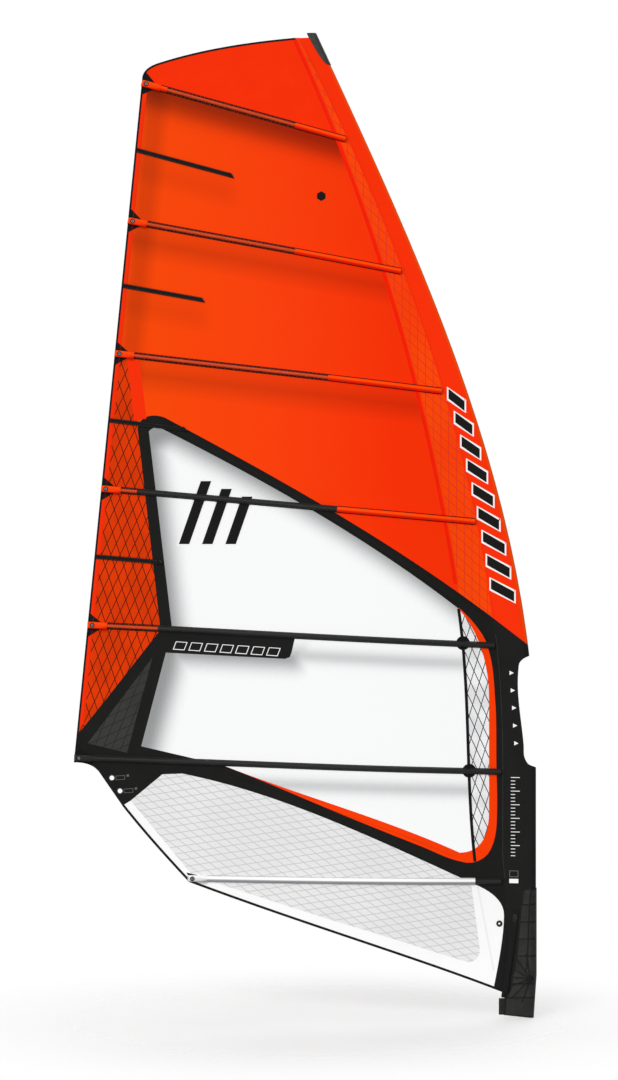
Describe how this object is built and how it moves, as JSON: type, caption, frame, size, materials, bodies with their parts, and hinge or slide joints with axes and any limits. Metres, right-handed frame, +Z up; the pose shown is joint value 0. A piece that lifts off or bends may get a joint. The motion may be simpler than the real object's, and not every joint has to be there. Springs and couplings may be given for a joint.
{
  "type": "windsurf sail",
  "caption": "Windsurf sail: luff sleeve cut out for the boom, full battens with tensioners, short leech battens, clear window, clew grommets, tack pulley block and opening tack fairing.",
  "frame": {"origin": "on the axis of the mast channel, level with the open bottom of the tack fairing", "axes": "+Z up the luff at the tack, +X forward towards the luff, -Y to port"},
  "size_m": [2.3822, 0.1415, 5.068],
  "materials": {
    "film_orange": "semi-gloss polyester film",
    "ply_orange": "scrim laminate",
    "film_clear": "clear monofilm",
    "ply_clear": "clear laminate with dark scrim",
    "cloth_black": "matt black sailcloth",
    "cloth_white": "white laminate",
    "pocket_black": "black pocket cloth",
    "batten_carbon": "satin carbon and glass fibre",
    "moulded_black": "satin moulded plastic",
    "black_metal": "blackened metal",
    "steel": "stainless steel"
  },
  "bodies": {
    "sail": {"head_panel": "film_orange", "upper_panel": "film_orange", "middle_panel": "film_orange", "lower_panel": "film_orange", "upper_sleeve_port": "film_orange", "upper_sleeve_starboard": "film_orange", "luff_ply_panel": "ply_orange", "leech_ply_panel": "ply_orange", "window_film": "film_clear", "window_mesh_strip": "ply_clear", "window_frame_top": "cloth_black", "window_frame_foot": "cloth_black", "clew_patch": "cloth_black", "lower_sleeve_port": "cloth_black", "lower_sleeve_starboard": "cloth_black", "tack_webbing": "cloth_black", "foot_panel": "cloth_white", "batten_pocket_1": "film_orange", "tensioner_housing_1": "moulded_black", "batten_pocket_2": "film_orange", "tensioner_housing_2": "moulded_black", "batten_pocket_3": "film_orange", "tensioner_housing_3": "moulded_black", "batten_pocket_4": "film_orange", "tensioner_housing_4": "moulded_black", "batten_pocket_5": "pocket_black", "tensioner_housing_5": "moulded_black", "batten_pocket_6": "pocket_black", "tensioner_housing_6": "moulded_black", "batten_pocket_7": "cloth_white", "tensioner_housing_7": "moulded_black", "mini_batten_1": "batten_carbon", "mini_batten_2": "batten_carbon", "mini_batten_3": "batten_carbon", "mini_batten_4": "batten_carbon", "head_cap": "moulded_black", "pulley_housing": "moulded_black", "pulley_axle": "steel", "clew_grommet_upper": "black_metal", "clew_grommet_lower": "black_metal", "tack_eyelet": "black_metal"},
    "batten_1_rod": {"batten_1": "batten_carbon"},
    "batten_2_rod": {"batten_2": "batten_carbon"},
    "batten_3_rod": {"batten_3": "batten_carbon"},
    "batten_4_rod": {"batten_4": "batten_carbon"},
    "batten_5_rod": {"batten_5": "batten_carbon"},
    "batten_6_rod": {"batten_6": "batten_carbon"},
    "batten_7_rod": {"batten_7": "batten_carbon"},
    "dial_1": {"tension_dial_1": "black_metal"},
    "dial_2": {"tension_dial_2": "black_metal"},
    "dial_3": {"tension_dial_3": "black_metal"},
    "dial_4": {"tension_dial_4": "black_metal"},
    "dial_5": {"tension_dial_5": "black_metal"},
    "dial_6": {"tension_dial_6": "black_metal"},
    "dial_7": {"tension_dial_7": "black_metal"},
    "sheave_wheel_1": {"sheave_1": "moulded_black"},
    "sheave_wheel_2": {"sheave_2": "moulded_black"},
    "sheave_wheel_3": {"sheave_3": "moulded_black"},
    "fairing_flap_port": {"fairing_port": "moulded_black"},
    "fairing_flap_starboard": {"fairing_starboard": "moulded_black"}
  },
  "joints": [
    {"name": "batten_1_slide", "type": "slide", "parent": "sail", "child": "batten_1_rod", "axis": [0.9639, -0.0003, -0.2662], "range_m": [0, 0.012]},
    {"name": "batten_2_slide", "type": "slide", "parent": "sail", "child": "batten_2_rod", "axis": [0.9831, -0.0013, -0.183], "range_m": [0, 0.012]},
    {"name": "batten_3_slide", "type": "slide", "parent": "sail", "child": "batten_3_rod", "axis": [0.9934, -0.0017, -0.1149], "range_m": [0, 0.012]},
    {"name": "batten_4_slide", "type": "slide", "parent": "sail", "child": "batten_4_rod", "axis": [0.9961, -0.0017, -0.0881], "range_m": [0, 0.012]},
    {"name": "batten_5_slide", "type": "slide", "parent": "sail", "child": "batten_5_rod", "axis": [0.9987, -0.0016, -0.0508], "range_m": [0, 0.012]},
    {"name": "batten_6_slide", "type": "slide", "parent": "sail", "child": "batten_6_rod", "axis": [0.9994, -0.0013, -0.0331], "range_m": [0, 0.012]},
    {"name": "batten_7_slide", "type": "slide", "parent": "sail", "child": "batten_7_rod", "axis": [0.9983, -0.0566, -0.0105], "range_m": [0, 0.012]},
    {"name": "dial_1_turn", "type": "hinge", "parent": "sail", "child": "dial_1", "pos_m": [-1.97636, -0.012, 4.80561], "axis": [-0.0003, -1, 0.0001], "range_deg": [0, 172]},
    {"name": "dial_2_turn", "type": "hinge", "parent": "sail", "child": "dial_2", "pos_m": [-2.04664, -0.012, 4.09961], "axis": [-0.0013, -1, 0.0002], "range_deg": [0, 172]},
    {"name": "dial_3_turn", "type": "hinge", "parent": "sail", "child": "dial_3", "pos_m": [-2.11474, -0.012, 3.41724], "axis": [-0.0017, -1, 0.0002], "range_deg": [0, 172]},
    {"name": "dial_4_turn", "type": "hinge", "parent": "sail", "child": "dial_4", "pos_m": [-2.18421, -0.012, 2.72189], "axis": [-0.0017, -1, 0.0001], "range_deg": [0, 172]},
    {"name": "dial_5_turn", "type": "hinge", "parent": "sail", "child": "dial_5", "pos_m": [-2.25429, -0.012, 2.02078], "axis": [-0.0016, -1, 0.0001], "range_deg": [0, 172]},
    {"name": "dial_6_turn", "type": "hinge", "parent": "sail", "child": "dial_6", "pos_m": [-2.32262, -0.012, 1.3372], "axis": [-0.0013, -1, 0], "range_deg": [0, 172]},
    {"name": "dial_7_turn", "type": "hinge", "parent": "sail", "child": "dial_7", "pos_m": [-1.738, -0.02741, 0.71775], "axis": [-0.0566, -0.9984, 0.0006], "range_deg": [0, 172]},
    {"name": "sheave_1_spin", "type": "hinge", "parent": "sail", "child": "sheave_wheel_1", "pos_m": [-0.133, -0.0064, 0.047], "axis": [0, 1, 0], "continuous": true},
    {"name": "sheave_2_spin", "type": "hinge", "parent": "sail", "child": "sheave_wheel_2", "pos_m": [-0.133, 0, 0.047], "axis": [0, 1, 0], "continuous": true},
    {"name": "sheave_3_spin", "type": "hinge", "parent": "sail", "child": "sheave_wheel_3", "pos_m": [-0.133, 0.0064, 0.047], "axis": [0, 1, 0], "continuous": true},
    {"name": "fairing_port_open", "type": "hinge", "parent": "sail", "child": "fairing_flap_port", "pos_m": [-0.138, -0.024, 0], "axis": [-0.0599, 0, -0.9982], "range_deg": [0, 100]},
    {"name": "fairing_starboard_open", "type": "hinge", "parent": "sail", "child": "fairing_flap_starboard", "pos_m": [-0.138, 0.024, 0], "axis": [0.0599, 0, 0.9982], "range_deg": [0, 100]}
  ],
  "couplings": [
    {"joint": "dial_1_turn", "follows": "batten_1_slide", "rad_per_m": 250},
    {"joint": "dial_2_turn", "follows": "batten_2_slide", "rad_per_m": 250},
    {"joint": "dial_3_turn", "follows": "batten_3_slide", "rad_per_m": 250},
    {"joint": "dial_4_turn", "follows": "batten_4_slide", "rad_per_m": 250},
    {"joint": "dial_5_turn", "follows": "batten_5_slide", "rad_per_m": 250},
    {"joint": "dial_6_turn", "follows": "batten_6_slide", "rad_per_m": 250},
    {"joint": "dial_7_turn", "follows": "batten_7_slide", "rad_per_m": 250}
  ]
}
